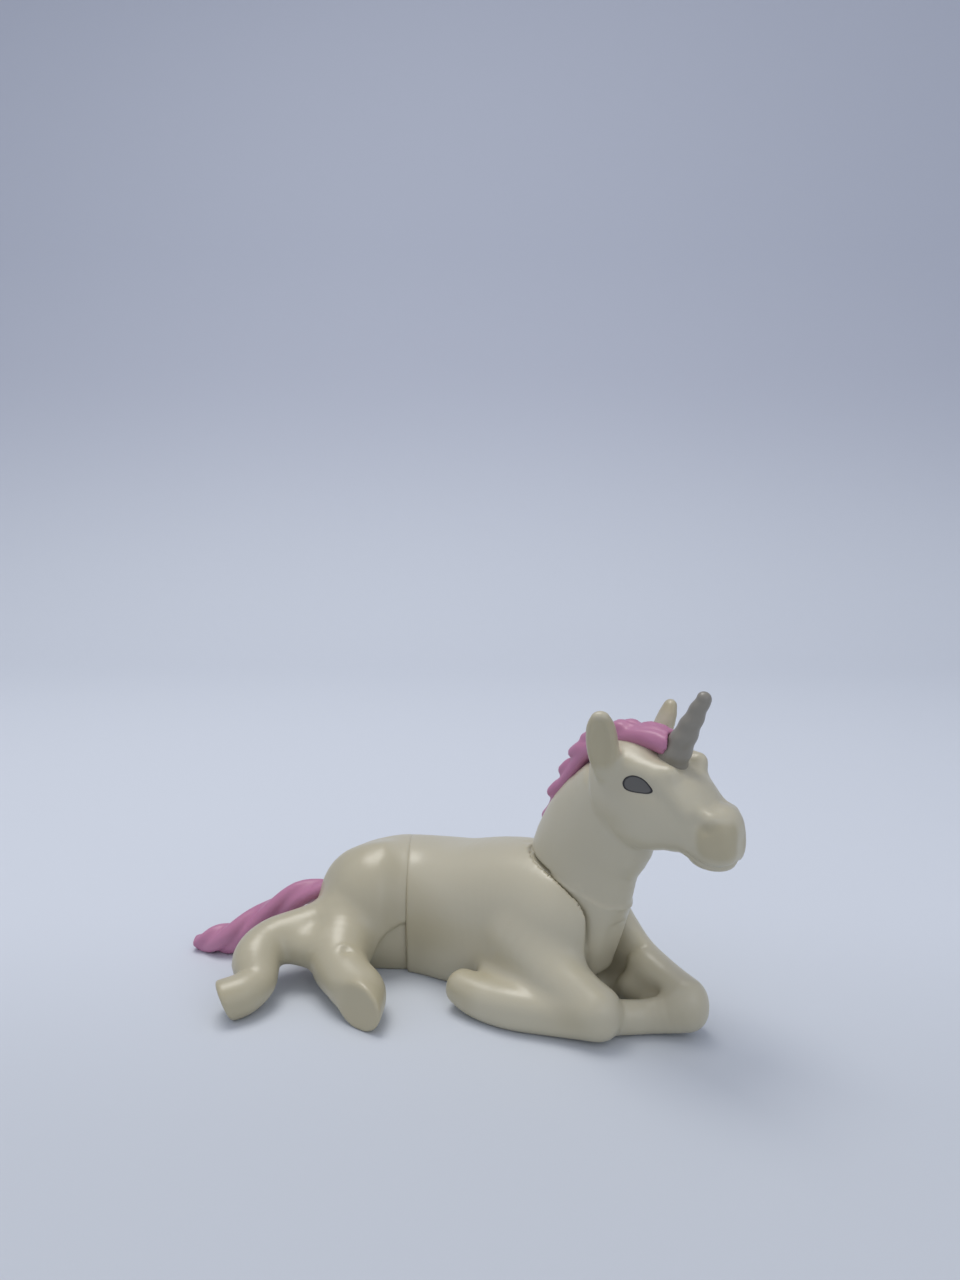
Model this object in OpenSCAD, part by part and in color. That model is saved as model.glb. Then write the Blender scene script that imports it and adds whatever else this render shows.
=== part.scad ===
// Toy unicorn foal lying down, with a neck that tips on a trunnion between the shoulders.
// X runs from the tail to the head, Y away from the side that carries the hind feet, Z up.

/* [Pose] */
// Turn of the shoulders, neck and head towards the viewer, in degrees
front_turn = 45; // [38:1:50]
// Distance from the waist seam to the withers, along X
withers_x = 16.4; // [15.6:0.1:17.2]
// Sideways place of the withers, measured from the near edge of the waist
withers_y = -1.3; // [-1.8:0.1:-0.8]

/* [Torso] */
// Width of the ribcage
torso_w = 18.4; // [17.4:0.1:19.4]
// Height of the back above the ground at the waist
torso_h = 17.2; // [16.4:0.1:18.2]
// Height of the shoulder blades above the ground
shoulder_h = 21.4; // [20.8:0.1:22.2]
// Length of the hindquarters behind the waist seam
rump_len = 14.2; // [13.4:0.1:15.2]

/* [Forelegs] */
// Thickness of a foreleg above the knee
arm_d = 7.2; // [6.6:0.1:7.8]
// Thickness of a folded cannon
cannon_d = 5.2; // [4.8:0.1:5.6]
// Thickness of a bent knee
knee_d = 6.4; // [6:0.1:6.8]
// Reach of the near knee ahead of the withers
near_knee_reach = 18.2; // [17.4:0.1:19]
// Reach of the far knee ahead of the withers
far_knee_reach = 26; // [25.2:0.1:26.8]

/* [Hind legs] */
// Thickness of a hock
hock_d = 5.8; // [5.4:0.1:6.4]
// Diameter of a hoof
hoof_d = 5.4; // [5:0.1:6]
// Reach of the rear hind leg behind the waist seam
rear_leg_reach = 20; // [19:0.1:21]
// Reach of the front hind leg out to the near side
side_leg_reach = 15.2; // [14.4:0.1:16]

/* [Neck and head] */
// Height of the top of the skull above the ground
poll_h = 38.4; // [37.4:0.1:39.4]
// Depth of the neck from crest to throat
neck_depth = 16.4; // [15.4:0.1:17.4]
// Width of the neck
neck_w = 8.2; // [7.6:0.1:8.8]
// Length of the head from the nape to the lips
head_len = 19.4; // [18.4:0.1:20.6]
// Depth of the head from forehead to jaw
head_depth = 13.6; // [12.8:0.1:14.4]
// Width of the head across the cheeks
head_w = 10.8; // [10.2:0.1:11.6]
// Height of an ear
ear_h = 7; // [6.2:0.1:7.8]
// Width of an ear
ear_w = 4.5; // [4.1:0.1:4.9]
// Width of an eye
eye_w = 4.4; // [4:0.1:4.8]

/* [Horn, mane and tail] */
// Length of the horn outside the forehead
horn_len = 10.2; // [9.4:0.1:11]
// Diameter of the horn at the forehead
horn_d = 3.8; // [3.4:0.1:4.2]
// Width of the mane on the neck
mane_w = 3; // [2.6:0.1:3.4]
// Width of the forelock
forelock_w = 5; // [4.4:0.1:5.6]
// Number of locks along the mane
lock_n = 6; // [5:1:7]
// Length of the tail outside the rump
tail_len = 20.4; // [19.4:0.1:21.4]
// Thickness of the tail
tail_d = 4.6; // [4.2:0.1:5]

/* [Fits] */
// Width of the neck's tongue between the shoulders
tongue_w = 7.4; // [7:0.1:7.8]
// Radius of the round foot of the tongue
tongue_r = 7; // [6.6:0.1:7.2]
// Diameter of the neck's trunnion
trunnion_d = 3.4; // [3:0.1:3.8]
// Length of the trunnion on each side
trunnion_len = 1.6; // [1.4:0.1:1.8]
// Radial play of the trunnion in its socket
trunnion_play = 0.05; // [0.03:0.01:0.08]
// Play beside and round the tongue
slot_play = 0.25; // [0.2:0.01:0.3]
// Diameter of the waist spigot
spigot_d = 7; // [6.4:0.1:7.6]
// Length of the waist spigot
spigot_len = 4.6; // [4:0.1:5.2]
// Diameter of the pegs on the horn, mane and tail
peg_d = 2; // [1.8:0.1:2.2]
// Length of those pegs
peg_len = 2.6; // [2.4:0.1:2.8]
// Radial play of the glued pegs
peg_play = 0.04; // [0.02:0.01:0.06]

/* [Hidden] */
// Sides of a torso or head section
body_sides = 28;
// Sides of a limb section
limb_sides = 16;
// Extra sections between two stations
fine_steps = 3;
// Sections in each rounded end
cap_steps = 4;
// Extra points between two stations of the crest
crest_steps = 6;
// Squareness of the torso section, 2 being an ellipse
torso_square_share = 2.4;
// Squareness of the tongue's section
tongue_square_share = 4;
// Squareness of every other section
round_share = 2;
$fn = 48;

// One overrun for every cut
over = torso_w;
// Nape, lips and jaw in the front frame
nape_s = 0.89 * neck_depth;
lip_s = nape_s + head_len;
chin_z = poll_h - head_depth;
// Plan place of the waist's centre, in from its near edge
waist_y = 0.37 * torso_w;
// Distance from the withers to the front of the shoulder
chest_len = 0.97 * neck_w + 0.39 * torso_w;
// Half widths of the slot and of the tongue in it
tongue_half = tongue_w / 2;
slot_half = tongue_half + slot_play;
// Trunnion axis, ahead of the withers and above the ground
pivot_s = 0.48 * chest_len;
pivot_z = 0.44 * shoulder_h;
// Rear wall of the slot, its front end, and its floor ahead of the round foot
slot_rear_s = pivot_s - tongue_r - slot_play;
slot_front_s = 1.21 * chest_len;
slot_floor_z = 0.155 * shoulder_h;
// Gap line between shoulders and neck: its rear, its middle and the ledge where it turns down
gap_line = [
    [0.20 * chest_len, 0.955 * shoulder_h],
    [0.47 * chest_len, 0.905 * shoulder_h],
    [0.95 * chest_len, 0.690 * shoulder_h]
];
throat_floor_z = 0.62 * shoulder_h;
// Height of the waist spigot
spigot_z = 0.55 * torso_h;
// Horn's seat on the forehead, ahead of the withers and above the ground
horn_s = nape_s + 0.515 * head_len;
horn_z = chin_z + 0.815 * head_depth;
horn_lean = 26;
// Straight collar of the horn, and its tip
horn_collar = horn_d / 3;
horn_tip_d = 0.5 * horn_d;
// Eye's place on the cheek and its size
eye_s = nape_s + 0.43 * head_len;
eye_z = chin_z + 0.655 * head_depth;
eye_l = 0.472 * head_w;
eye_h = 0.52 * eye_w;
eye_t = 0.14 * eye_w;
// Lean of the eye away from flat, and its droop towards the lips
eye_lean = 76;
eye_droop = 6;
eye_point_share = 0.6;
// Turn of the ears' hollows, between straight ahead and sideways
ear_turn_share = 0.8;
// Mane: height above the crest, depth of its groove, and size of its locks
mane_rise = 0.5 * mane_w;
mane_sink = 0.4 * mane_w;
lock_rise = 0.16 * mane_w;
// Tail's root on the rump
tail_x = -0.86 * rump_len;
tail_y = 0.29 * torso_w;
tail_root_d = 0.72 * tail_d;
tail_lean = 12;
// Half of the overall length and depth, which put the origin under the middle
tail_tip_x = -rump_len + 0.1 * tail_len - tail_len;
centre_x = (withers_x + lip_s * cos(front_turn) + 0.12 * head_w + tail_tip_x) / 2;
far_y = waist_y + 0.49 * torso_w;
near_y = withers_y - lip_s * sin(front_turn) - 0.16 * head_w;
centre_y = (far_y + near_y) / 2;

// Along the way from waist to withers: way, bow, half width, section centre, top
rib_shares = [
    [-0.30, 0.000, 0.465, 0.38, 0.985],
    [0.00, 0.000, 0.475, 0.38, 1.000],
    [0.30, 0.060, 0.495, 0.385, 1.01],
    [0.60, 0.035, 0.500, 0.42, 1.05],
    [0.90, 0.000, 0.490, 0.47, 1.13]
];
// Ahead of the withers: way, half width, section centre, top
chest_shares = [
    [0.20, 0.475, 0.40, 0.935],
    [0.47, 0.445, 0.40, 0.910],
    [0.68, 0.395, 0.39, 0.865],
    [0.80, 0.335, 0.375, 0.790]
];
// Behind the waist: way, centre from the near edge, half width, section centre, top
rump_shares = [
    [0.16, 0.37, 0.475, 0.38, 1.000],
    [0.00, 0.37, 0.475, 0.38, 1.000],
    [-0.28, 0.32, 0.460, 0.44, 1.000],
    [-0.52, 0.24, 0.400, 0.46, 0.945],
    [-0.72, 0.19, 0.310, 0.48, 0.830]
];
// Rear hind leg from the stifle over the hock to the sole
rear_leg_shares = [
    [-0.40, 0.10, 0.50, 0.80],
    [-0.70, -0.05, 0.45, 0.60],
    [-0.965, -0.20, 0.365, 0.51],
    [-1.02, -0.42, 0.27, 0.53],
    [-1.04, -0.60, 0.190, 0.52],
    [-1.13, -0.74, 0.162, 0.48]
];
// Front hind leg from the stifle to the sole
side_leg_shares = [
    [-0.58, -0.10, 0.42, 0.92],
    [-0.63, -0.46, 0.33, 0.72],
    [-0.48, -0.79, 0.24, 0.56],
    [-0.335, -1.09, 0.172, 0.54]
];
// Forelegs in the front frame: reach, side, height, and thickness across and upward
near_arm_shares = [
    [0.30, -0.270, 1.15, 0.60, 0.60],
    [0.66, -0.345, 0.88, 0.46, 0.47],
    [0.985, -0.345, 0.57, 0.41, 0.42]
];
near_cannon_shares = [
    [1.00, -0.35, 0.61, 0.60],
    [0.61, -0.51, 0.50, 0.50],
    [0.25, -0.65, 0.56, 0.44],
    [0.08, -0.72, 0.62, 0.41]
];
far_arm_shares = [
    [0.28, 0.360, 1.16, 0.47, 0.50],
    [0.60, 0.315, 0.78, 0.44, 0.55],
    [0.80, 0.235, 0.63, 0.42, 0.49],
    [0.985, 0.140, 0.54, 0.42, 0.45]
];
far_cannon_shares = [
    [1.00, 0.12, 0.60, 0.58],
    [0.72, -0.05, 0.45, 0.44],
    [0.42, -0.17, 0.50, 0.42]
];
// Web between the far arm and its cannon
far_web_shares = [
    [0.35, 0.220, 0.42, 0.40],
    [0.67, 0.165, 0.36, 0.36],
    [0.90, 0.110, 0.36, 0.33]
];
// Neck from the tongue to the skull: way ahead, height, half width, half depth
neck_shares = [
    [0.61, 0.310, 0.475, 0.465],
    [0.64, 0.464, 0.495, 0.500],
    [0.72, 0.600, 0.515, 0.480],
    [0.87, 0.698, 0.535, 0.457],
    [1.05, 0.786, 0.55, 0.390]
];
// Round-nosed front of the tongue: way ahead, height, half depth
tongue_shares = [
    [0.489, 0.308, 0.455],
    [0.522, 0.440, 0.495],
    [0.608, 0.607, 0.496],
    [0.687, 0.818, 0.505]
];
// Head from nape to lips: way, section centre above the jaw, half width, half height
head_shares = [
    [0.02, 0.495, 0.40, 0.420],
    [0.175, 0.507, 0.485, 0.490],
    [0.38, 0.490, 0.500, 0.500],
    [0.56, 0.440, 0.450, 0.425],
    [0.68, 0.340, 0.370, 0.312],
    [0.79, 0.275, 0.315, 0.297],
    [0.90, 0.235, 0.310, 0.265],
    [0.965, 0.236, 0.260, 0.207]
];
// Ear: way along the head, side, height above the poll, half thickness, half depth
ear_shares = [
    [0.175, 0.450, -0.560, 0.28, 0.42],
    [0.196, 0.528, -0.170, 0.26, 0.44],
    [0.216, 0.588, 0.200, 0.21, 0.38],
    [0.227, 0.630, 0.443, 0.13, 0.21]
];
// Crest that carries the mane, from its lower end to the horn: way ahead, height
crest_shares = [
    [0.33, 0.635],
    [0.405, 0.728],
    [0.57, 0.825],
    [0.74, 0.910],
    [0.93, 0.980],
    [1.14, 1.002],
    [1.36, 0.995],
    [1.455, 0.985]
];
// Tail from its root to the tip: way back, way to the far side, height, thickness
tail_shares = [
    [0.05, 0.00, 0.59, 0.36],
    [0.24, 0.04, 0.52, 0.45],
    [0.50, 0.07, 0.33, 0.50],
    [0.75, 0.07, 0.16, 0.44],
    [0.97, 0.05, 0.075, 0.24]
];

// Vector of length one
function unit(v) = v / norm(v);
// Rows of shares turned into sizes
function sized(shares, sizes) = [for (row = shares) [for (i = [0:len(row) - 1]) row[i] * sizes[i]]];
// Point of the front frame, which starts at the withers and follows the neck's plane
function front(s, l, z) = [
    withers_x + s * cos(front_turn) + l * sin(front_turn),
    withers_y - s * sin(front_turn) + l * cos(front_turn),
    z
];
// Smooth curve through stations: row i and the one after it, at the share u between them
function between(p, i, u) =
    let (n = len(p) - 1, a = p[max(i - 1, 0)], b = p[i], c = p[min(i + 1, n)], d = p[min(i + 2, n)])
    b + u * (c - a) / 2 + u * u * (2 * a - 5 * b + 4 * c - d) / 2 + u * u * u * (3 * b - a - 3 * c + d) / 2;
function smooth(p, steps) = concat(
    [for (i = [0:len(p) - 2]) for (k = [0:steps - 1]) between(p, i, k / steps)],
    [p[len(p) - 1]]
);
// First three entries of a station, its centre
function centre(p) = [p[0], p[1], p[2]];
// Signed power, which squares up a circle
function bent(c, squareness) = sign(c) * pow(abs(c), round_share / squareness);
// One closed section: half width p[3], half height p[4]
function section(p, side, up, k, sides, squareness) = [
    for (j = [0:sides - 1])
        centre(p) + side * p[3] * k * bent(cos(360 * j / sides), squareness)
            + up * p[4] * k * bent(sin(360 * j / sides), squareness)
];

// Closed skin over stations [x, y, z, half width, half height], with a rounded cap at each end
module loft(stations, caps, sides, up_ref = [0, 0, 1], squareness = round_share) {
    rows = smooth(stations, fine_steps);
    last = len(rows) - 1;
    ways = [for (i = [0:last]) unit(centre(rows[min(i + 1, last)]) - centre(rows[max(i - 1, 0)]))];
    sides_dir = [for (w = ways) unit(cross(w, up_ref))];
    ups = [for (i = [0:last]) cross(sides_dir[i], ways[i])];
    moved = function (p, w, d) [p[0] + w[0] * d, p[1] + w[1] * d, p[2] + w[2] * d, p[3], p[4]];
    start = [
        for (j = [cap_steps - 1:-1:1])
            section(moved(rows[0], ways[0], -caps[0] * sin(90 * j / cap_steps)),
                sides_dir[0], ups[0], cos(90 * j / cap_steps), sides, squareness)
    ];
    middle = [for (i = [0:last]) section(rows[i], sides_dir[i], ups[i], 1, sides, squareness)];
    finish = [
        for (j = [1:cap_steps - 1])
            section(moved(rows[last], ways[last], caps[1] * sin(90 * j / cap_steps)),
                sides_dir[last], ups[last], cos(90 * j / cap_steps), sides, squareness)
    ];
    rings = concat(start, middle, finish);
    count = len(rings);
    points = concat(
        [for (ring = rings) each ring],
        [centre(moved(rows[0], ways[0], -caps[0])), centre(moved(rows[last], ways[last], caps[1]))]
    );
    walls = [
        for (i = [0:count - 2]) for (j = [0:sides - 1])
            let (a = i * sides + j, b = i * sides + (j + 1) % sides)
            each [[a, b, b + sides], [a, b + sides, a + sides]]
    ];
    ends = [
        for (j = [0:sides - 1])
            let (k = (j + 1) % sides, foot = (count - 1) * sides)
            each [[k, j, count * sides], [foot + j, foot + k, count * sides + 1]]
    ];
    polyhedron(points, concat(walls, ends));
}
// Round limb through rows [x, y, z, thickness]
module limb(rows, start_cap, end_cap) {
    stations = [for (r = rows) [r[0], r[1], r[2], r[3], r[3]]];
    loft(stations, [start_cap, end_cap], limb_sides);
}

// Part frame: origin on the ground under the middle of the box
module placed() {
    translate([-centre_x, -centre_y, 0]) children();
}
// Front frame: X ahead from the withers, Y to the far side
module in_front() {
    translate([withers_x, withers_y, 0]) rotate(-front_turn) children();
}
// Flat outline in the neck's plane, made as thick as asked
module side_plate(thickness) {
    translate([0, thickness / 2, 0]) rotate([90, 0, 0]) linear_extrude(thickness) children();
}
// Round bar across the neck's plane at a place in it
module cross_bar(d, length, s, z) {
    translate([s, 0, z]) rotate([90, 0, 0]) cylinder(d = d, h = length, center = true);
}
// Everything below the ground
module below_ground() {
    translate([-2 * over, -3 * over, -over]) cube([6 * over, 6 * over, over]);
}

module torso_front() {
    ribs = [
        for (r = rib_shares) [
            r[0] * withers_x,
            waist_y + r[0] * (withers_y - waist_y) * (r[0] < 0 ? 0 : 1) + r[1] * torso_w,
            r[3] * torso_h,
            r[2] * torso_w,
            (r[4] - r[3]) * torso_h
        ]
    ];
    chest = [
        for (r = chest_shares) concat(
            front(r[0] * chest_len, 0, r[2] * shoulder_h),
            [r[1] * torso_w, (r[3] - r[2]) * shoulder_h]
        )
    ];
    loft(concat(ribs, chest), [0.1 * torso_w, 0.14 * torso_w], body_sides, squareness = torso_square_share);
}
module near_foreleg() {
    arm = sized(near_arm_shares, [near_knee_reach, torso_w, arm_d, arm_d, arm_d]);
    cannon = sized(near_cannon_shares, [near_knee_reach, torso_w, cannon_d, cannon_d]);
    loft(arm, [arm_d / 3, knee_d / 2.4], limb_sides);
    limb(cannon, knee_d / 2.2, cannon_d / 2.6);
}
module far_foreleg() {
    arm = sized(far_arm_shares, [far_knee_reach, torso_w, arm_d, arm_d, arm_d]);
    cannon = sized(far_cannon_shares, [far_knee_reach, torso_w, cannon_d, cannon_d]);
    web = sized(far_web_shares, [far_knee_reach, torso_w, arm_d, arm_d]);
    loft(arm, [arm_d / 3, knee_d / 2.3], limb_sides);
    limb(cannon, knee_d / 2.2, cannon_d / 2.6);
    limb(web, arm_d / 3, arm_d / 3);
}
// Room for the tongue: its round foot, and all that lies above and ahead of it
module slot() {
    side_plate(2 * slot_half) {
        translate([pivot_s, pivot_z]) circle(tongue_r + slot_play);
        polygon([
            [pivot_s - tongue_r - slot_play, pivot_z],
            [slot_rear_s + 6 * slot_play, shoulder_h],
            [slot_rear_s + 6 * slot_play, shoulder_h + over],
            [slot_front_s, shoulder_h + over],
            [slot_front_s, pivot_z],
            [0.85 * slot_front_s, slot_floor_z],
            [pivot_s + tongue_r / 2, slot_floor_z],
            [pivot_s, pivot_z]
        ]);
    }
    // Wider above the shoulders, where the full neck comes down
    side_plate(neck_w + 2 * slot_play) polygon(gap_outline(-slot_play));
}
// Outline of the neck above the gap line, moved away from the shoulders by a gap
function gap_outline(gap) = concat(
    [[gap_line[0][0] + gap, shoulder_h + over]],
    [for (p = gap_line) [p[0] + gap, p[1] + gap]],
    [
        [gap_line[2][0] + gap, throat_floor_z + gap],
        [lip_s, throat_floor_z + gap],
        [lip_s, shoulder_h + over]
    ]
);
module forequarters() {
    color("ivory") placed() difference() {
        union() {
            torso_front();
            in_front() {
                near_foreleg();
                far_foreleg();
            }
        }
        below_ground();
        translate([-over, -over, -over]) cube([over, 3 * over, 3 * over]);
        in_front() {
            slot();
            cross_bar(trunnion_d + 2 * trunnion_play, 2 * (slot_half + trunnion_len), pivot_s, pivot_z);
        }
        translate([-peg_play, waist_y, spigot_z]) rotate([0, 90, 0])
            cylinder(d = spigot_d + 2 * peg_play, h = spigot_len + slot_play);
        translate([-peg_play, waist_y, spigot_z - spigot_d]) rotate([0, 90, 0])
            cylinder(d = peg_d + 2 * peg_play, h = spigot_len + slot_play);
    }
}
module rump() {
    stations = [
        for (r = rump_shares) [
            r[0] * rump_len, r[1] * torso_w, r[3] * torso_h, r[2] * torso_w, (r[4] - r[3]) * torso_h
        ]
    ];
    loft(stations, [0, 0.2 * rump_len], body_sides, squareness = torso_square_share);
}
module rear_leg() {
    limb(sized(rear_leg_shares, [rear_leg_reach, torso_w, torso_h, hock_d]), hock_d / 2, hoof_d / 12);
}
module side_leg() {
    limb(sized(side_leg_shares, [rump_len, side_leg_reach, torso_h, hoof_d]), hoof_d / 2, hoof_d / 12);
}
module hindquarters() {
    color("ivory") placed() {
        difference() {
            union() {
                rump();
                rear_leg();
                side_leg();
            }
            below_ground();
            translate([0, -over, -over]) cube([over, 3 * over, 3 * over]);
            tail_place() {
                cylinder(d = tail_root_d + 2 * peg_play, h = tail_root_d);
                peg(peg_play);
            }
        }
        translate([0, waist_y, spigot_z]) rotate([0, 90, 0]) cylinder(d = spigot_d, h = spigot_len);
        translate([0, waist_y, spigot_z - spigot_d]) rotate([0, 90, 0]) cylinder(d = peg_d, h = spigot_len);
    }
}
// Glued peg below its own seat
module peg(play = 0) {
    translate([0, 0, -peg_len - play]) cylinder(d = peg_d + 2 * play, h = peg_len + 2 * play);
}
// Horn's own frame, Z along the horn
module horn_place() {
    translate([horn_s, 0, horn_z]) rotate([0, horn_lean, 0]) children();
}
// Tail's own frame, Z out of the rump
module tail_place() {
    translate([tail_x, tail_y, tail_shares[0][2] * torso_h]) rotate([0, -90 - tail_lean, 0]) children();
}
// Eye's own frame, Z out of the cheek; far is 1 on the far side and -1 on the near side
module eye_place(far) {
    translate([eye_s, far * eye_l, eye_z])
        rotate([-far * eye_lean, 0, 0]) rotate([0, eye_droop, 0]) children();
}
// Teardrop outline of the eye, its point forward
module eye_outline(play = 0) {
    polygon([
        for (a = [0:15:345])
            [(eye_w / 2 + play) * cos(a), (eye_h / 2 + play) * sin(a) * pow(sin(a / 2), eye_point_share)]
    ]);
}
// Strip along the crest, from an inner to an outer distance, with locks of a given height
module crest_strip(first, inner, outer, lock) {
    line = [
        for (i = [first:len(crest_shares) - 1])
            [crest_shares[i][0] * neck_depth, crest_shares[i][1] * poll_h]
    ];
    path = smooth(line, crest_steps);
    last = len(path) - 1;
    ways = [for (i = [0:last]) unit(path[min(i + 1, last)] - path[max(i - 1, 0)])];
    function off(i, d) = path[i] + d * [-ways[i][1], ways[i][0]];
    polygon(concat(
        [for (i = [0:last]) off(i, outer + lock * abs(sin(180 * lock_n * i / last)))],
        [for (i = [last:-1:0]) off(i, -inner)]
    ));
}
// Mane and forelock, or with play the groove that they lie in
module mane_solid(play, rise, lock) {
    side_plate(mane_w + 2 * play) crest_strip(0, mane_sink + play, rise, lock);
    side_plate(forelock_w + 2 * play) crest_strip(4, mane_sink + play, rise, lock);
}
module mane_peg(play) {
    for (i = [1, 5]) {
        way = unit(crest_shares[i + 1] - crest_shares[i - 1]);
        translate([crest_shares[i][0] * neck_depth, 0, crest_shares[i][1] * poll_h])
            rotate([0, -atan2(way[1] * poll_h, way[0] * neck_depth), 0])
                translate([0, 0, -mane_sink]) peg(play);
    }
}
module neck() {
    stations = [
        for (r = neck_shares) [r[0] * neck_depth, 0, r[1] * poll_h, r[2] * neck_w, r[3] * neck_depth]
    ];
    intersection() {
        loft(stations, [0, 0.2 * neck_depth], body_sides, [-1, 0, 0]);
        side_plate(2 * neck_w) polygon(gap_outline(slot_play));
    }
}
// Tongue between the shoulders, on its round foot
module tongue() {
    side_plate(tongue_w) {
        translate([pivot_s, pivot_z]) circle(tongue_r);
        polygon([
            [pivot_s - tongue_r, pivot_z],
            [slot_rear_s + 10 * slot_play, 0.935 * shoulder_h],
            [gap_line[1][0], 1.02 * shoulder_h],
            [0.90 * chest_len, 0.84 * shoulder_h],
            [pivot_s + tongue_r, pivot_z]
        ]);
    }
    nose_half = tongue_half - slot_play / 4;
    nose = [
        for (r = tongue_shares) [r[0] * chest_len, 0, r[1] * shoulder_h, nose_half, r[2] * chest_len]
    ];
    loft(nose, [slot_play, 0], body_sides, [-1, 0, 0], tongue_square_share);
}
module skull() {
    stations = [
        for (r = head_shares)
            [nape_s + r[0] * head_len, 0, chin_z + r[1] * head_depth, r[2] * head_w, r[3] * head_depth]
    ];
    loft(stations, [0.2 * head_len, 0.035 * head_len], body_sides);
}
module ear(far) {
    stations = [
        for (r = ear_shares)
            [
                nape_s + r[0] * head_len, far * r[1] * head_w, poll_h + r[2] * ear_h,
                r[3] * ear_w, r[4] * ear_w
            ]
    ];
    loft(stations, [0, 0.12 * ear_w], limb_sides, [-1, far * ear_turn_share, 0]);
}
module head_neck() {
    color("floralwhite") placed() in_front() {
        difference() {
            union() {
                neck();
                tongue();
                skull();
                ear(-1);
                ear(1);
            }
            mane_solid(peg_play, over, 0);
            mane_peg(peg_play);
            horn_place() {
                cylinder(d = horn_d + 2 * peg_play, h = horn_len);
                peg(peg_play);
            }
            for (far = [-1, 1])
                eye_place(far) translate([0, 0, -eye_t]) linear_extrude(over) eye_outline(peg_play);
        }
        cross_bar(trunnion_d, 2 * (tongue_half + trunnion_len), pivot_s, pivot_z);
    }
}
module mane() {
    color("orchid") placed() in_front() {
        difference() {
            mane_solid(0, mane_rise, lock_rise);
            horn_place() cylinder(d = horn_d + 2 * peg_play, h = horn_len);
        }
        mane_peg(0);
    }
}
module horn() {
    color("gray") placed() in_front() horn_place() {
        peg();
        cylinder(d = horn_d, h = horn_collar);
        translate([0, 0, horn_collar])
            cylinder(d1 = horn_d, d2 = horn_tip_d, h = horn_len - horn_collar - horn_tip_d / 2);
        translate([0, 0, horn_len - horn_tip_d / 2]) sphere(d = horn_tip_d);
    }
}
module tail() {
    color("orchid") placed() {
        tail_place() {
            peg();
            cylinder(d = tail_root_d, h = tail_root_d);
        }
        limb(
            [
                for (r = tail_shares)
                    [tail_x - r[0] * tail_len, tail_y + r[1] * tail_len, r[2] * torso_h, r[3] * tail_d]
            ],
            0, tail_d / 6
        );
    }
}
module eye(far) {
    color("dimgray") placed() in_front() eye_place(far) intersection() {
        translate([0, 0, -eye_t]) linear_extrude(2 * eye_t) eye_outline();
        translate([0, 0, eye_t / 5 - head_w]) sphere(r = head_w, $fn = 96);
    }
}
module eye_right() {
    eye(-1);
}
module eye_left() {
    eye(1);
}
forequarters();
hindquarters();
head_neck();
mane();
horn();
tail();
eye_right();
eye_left();
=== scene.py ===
"""Toy unicorn foal lying down: its looks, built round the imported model."""
import math

import bpy
import numpy as np
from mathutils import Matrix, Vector


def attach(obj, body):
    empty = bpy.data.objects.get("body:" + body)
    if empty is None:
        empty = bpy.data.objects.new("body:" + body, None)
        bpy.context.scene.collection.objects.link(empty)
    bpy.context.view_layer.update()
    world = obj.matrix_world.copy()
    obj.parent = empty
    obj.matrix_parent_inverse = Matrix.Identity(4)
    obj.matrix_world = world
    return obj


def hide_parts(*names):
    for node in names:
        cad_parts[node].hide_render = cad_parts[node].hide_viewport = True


bl_info = {
    "name": "Toy unicorn foal",
    "version": (1, 0, 0),
    "blender": (4, 5, 0),
    "location": "View3D > Sidebar > Foal",
    "description": "Builds a small moulded toy unicorn foal round its packed model",
    "category": "Add Mesh",
}

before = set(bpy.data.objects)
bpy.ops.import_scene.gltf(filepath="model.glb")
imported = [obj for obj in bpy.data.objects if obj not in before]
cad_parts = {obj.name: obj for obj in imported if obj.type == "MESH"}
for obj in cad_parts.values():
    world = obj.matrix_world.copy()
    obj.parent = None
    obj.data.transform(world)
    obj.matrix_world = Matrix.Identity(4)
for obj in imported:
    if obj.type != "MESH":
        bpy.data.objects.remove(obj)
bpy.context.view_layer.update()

# Every shape below is worked out in millimetres and put into the mesh in metres
MM = 0.001
# The belly frame starts at the waist's near edge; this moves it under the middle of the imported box
MIDDLE = np.array([4.5874, -5.6214, 0.0])
# The front frame: s ahead from the withers, l to the far side, z up
WITHERS = np.array([16.4, -1.3, 0.0])
TURN = math.radians(45)
AHEAD = np.array([math.cos(TURN), -math.sin(TURN), 0.0])
ASIDE = np.array([math.sin(TURN), math.cos(TURN), 0.0])
UP = np.array([0.0, 0.0, 1.0])
# Distance given to points that a form doesn't reach
FAR = 9.0
# Room kept round a form, so that its neighbours can blend with it
REACH = 3.2

# Neck pivot in the front frame, the slot's half width, the round foot's radius, and the play between them
PIVOT = (7.26, 9.42)
SLOT_HALF = 3.95
FOOT_R = 7.0
PLAY = 0.25
# Line between shoulders and neck: rear, middle, and the ledge where it turns down
GAP_LINE = np.array([(1.6, 20.2), (8.0, 18.55), (14.3, 14.6)])
# Height of the step below the ledge, on the chest
THROAT_FLOOR = 13.3

# Torso in the belly frame: x, y, z of the middle, half width, half height
RIBS = [
    (-4.9, 6.8, 6.5, 8.6, 10.4), (0.0, 6.8, 6.5, 8.74, 10.7), (4.9, 5.5, 6.6, 9.1, 10.75),
    (9.8, 2.6, 7.2, 9.2, 10.85), (14.8, -0.5, 8.1, 9.0, 11.35),
]
# Chest in the front frame
CHEST = [
    (3.0, 0, 8.7, 8.7, 11.4), (7.1, 0, 8.6, 8.4, 11.2), (10.3, 0, 8.4, 7.4, 10.3), (12.1, 0, 8.0, 6.15, 9.0),
]
# Forelegs in the front frame: s, l, z, then a radius or the half width and half height
NEAR_ARM = [(5.4, -4.9, 8.4, 4.4), (11.4, -6.2, 6.6, 3.6), (18.2, -6.3, 4.1, 3.1)]
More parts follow.
